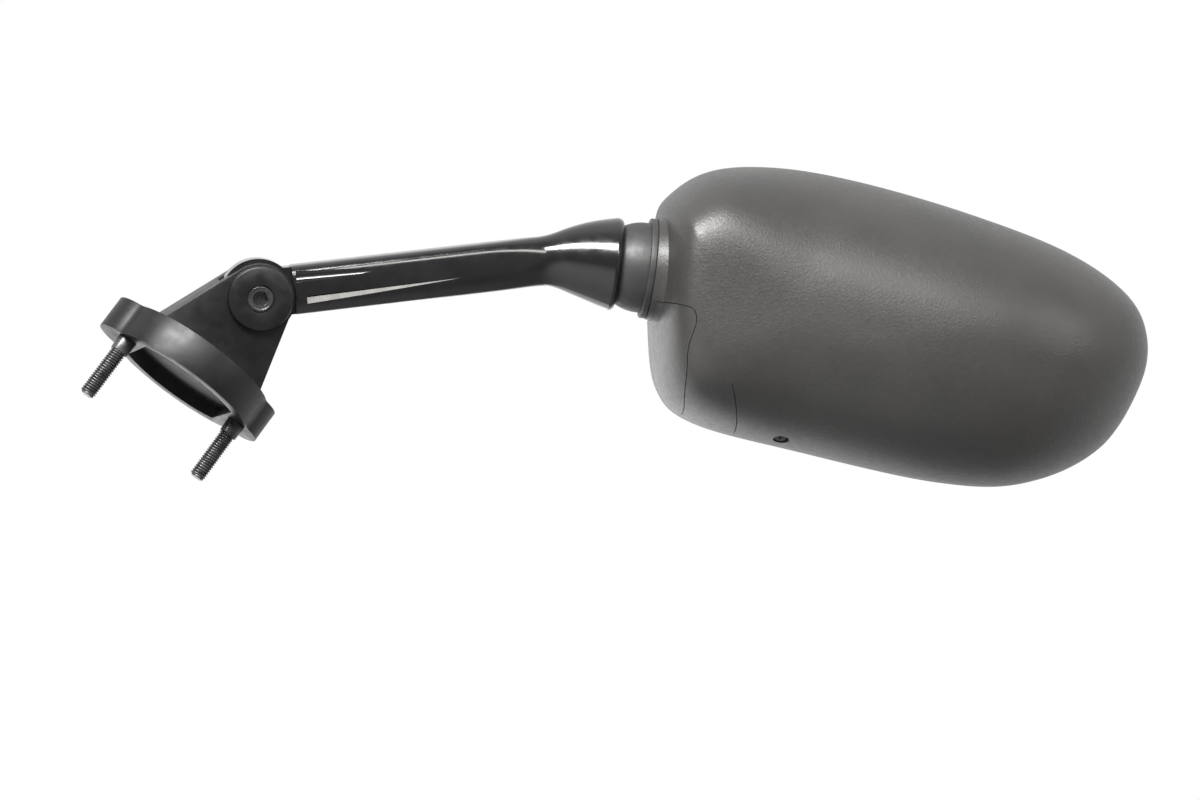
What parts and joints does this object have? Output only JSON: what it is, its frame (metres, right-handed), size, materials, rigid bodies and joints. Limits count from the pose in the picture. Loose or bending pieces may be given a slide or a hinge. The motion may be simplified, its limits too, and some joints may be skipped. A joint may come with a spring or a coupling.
{
  "type": "motorcycle mirror",
  "caption": "Folding motorcycle mirror: a stud-mounted base, a cast arm on a fold pivot, and a ball-jointed head with a domed shell and flat glass.",
  "frame": {"origin": "midpoint between the two mounting studs, on the mounting face of the base", "axes": "+X along the line of the two studs, towards the side that the arm leans to; +Z along the studs' axis, out of the base plate towards the pivot and arm; +Y completes the frame, towards the glass side of the head"},
  "size_m": [0.3355, 0.1308, 0.2717],
  "materials": {
    "cast_black": "satin black powder coat on cast aluminium",
    "arm_black": "gloss black paint on cast aluminium",
    "black_steel": "black oxide",
    "bright_steel": "zinc plated",
    "spring_steel": "oiled spring steel",
    "bronze": "sintered bronze",
    "seat_plastic": "natural acetal",
    "neck_plastic": "matte black moulded plastic",
    "shell_plastic": "fine grained black moulded plastic",
    "inner_plastic": "plain black moulded plastic",
    "foam": "closed-cell foam tape",
    "seal_rubber": "matte",
    "mirror": "silvered glass"
  },
  "bodies": {
    "base": {"base_casting": "cast_black", "stud_left": "black_steel", "stud_right": "black_steel", "pivot_screw": "black_steel", "pivot_nut": "bright_steel", "pivot_bush": "bright_steel", "washer_near": "bronze", "washer_far": "spring_steel"},
    "arm": {"arm": "arm_black", "ball_stud": "bright_steel"},
    "liner_rear": {"seat_rear": "seat_plastic"},
    "liner_front": {"seat_front": "seat_plastic"},
    "head": {"neck": "neck_plastic", "clamp_cup": "seat_plastic", "disc_springs": "spring_steel", "clamp_plate": "bright_steel", "clamp_screws": "bright_steel", "shell": "shell_plastic", "corner_cover": "shell_plastic", "shell_screw": "black_steel", "backing_plate": "inner_plastic", "backing_screws": "bright_steel", "glass_pad": "foam", "mirror_glass": "mirror", "rim_seal": "seal_rubber"}
  },
  "joints": [
    {"name": "arm_fold", "type": "hinge", "parent": "base", "child": "arm", "pos_m": [0.0035, 0, 0.043], "axis": [0, 0.9686, 0.2487], "range_deg": [-60, 27]},
    {"name": "head_roll", "type": "hinge", "parent": "arm", "child": "liner_rear", "pos_m": [0.11058, -0.02722, 0.13696], "axis": [-0.1683, -0.959, -0.228], "range_deg": [-12, 12]},
    {"name": "head_pan", "type": "hinge", "parent": "liner_rear", "child": "liner_front", "pos_m": [0.11058, -0.02722, 0.13696], "axis": [-0.5079, -0.1139, 0.8539], "range_deg": [-12, 12]},
    {"name": "head_tilt", "type": "hinge", "parent": "liner_front", "child": "head", "pos_m": [0.11058, -0.02722, 0.13696], "axis": [0.8448, -0.2595, 0.4679], "range_deg": [-25, 25]}
  ]
}
